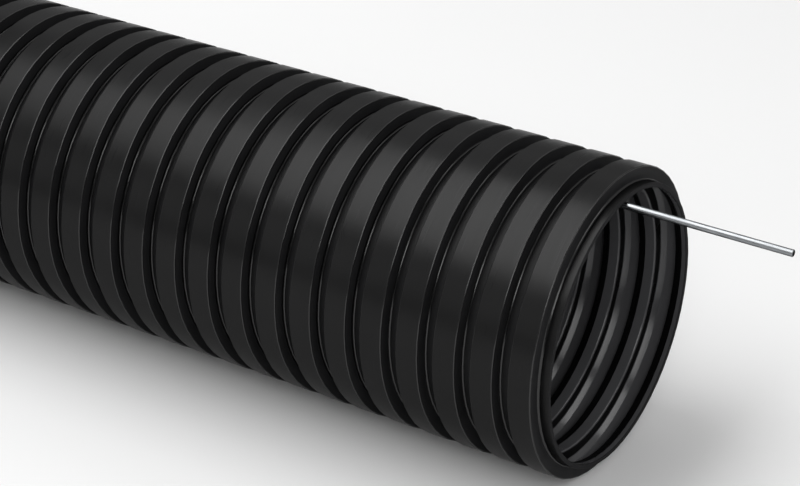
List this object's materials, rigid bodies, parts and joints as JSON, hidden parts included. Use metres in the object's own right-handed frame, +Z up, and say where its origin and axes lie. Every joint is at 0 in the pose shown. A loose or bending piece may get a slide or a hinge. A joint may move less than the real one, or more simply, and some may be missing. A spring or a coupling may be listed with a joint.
{
  "type": "corrugated conduit",
  "caption": "Straight length of ring-corrugated plastic cable conduit with a steel pull wire standing out of one end.",
  "frame": {"origin": "on the floor, below the middle of the whole part, the wire's free end counted in", "axes": "+X along the conduit towards the mouth that the wire stands out of, +Z up"},
  "size_m": [1.0378, 0.0628, 0.063],
  "materials": {
    "tube": "satin black, moulded",
    "wire": "bright drawn, galvanised"
  },
  "bodies": {
    "root": {"corrugated_tube": "tube", "pull_wire": "wire"}
  },
  "joints": []
}
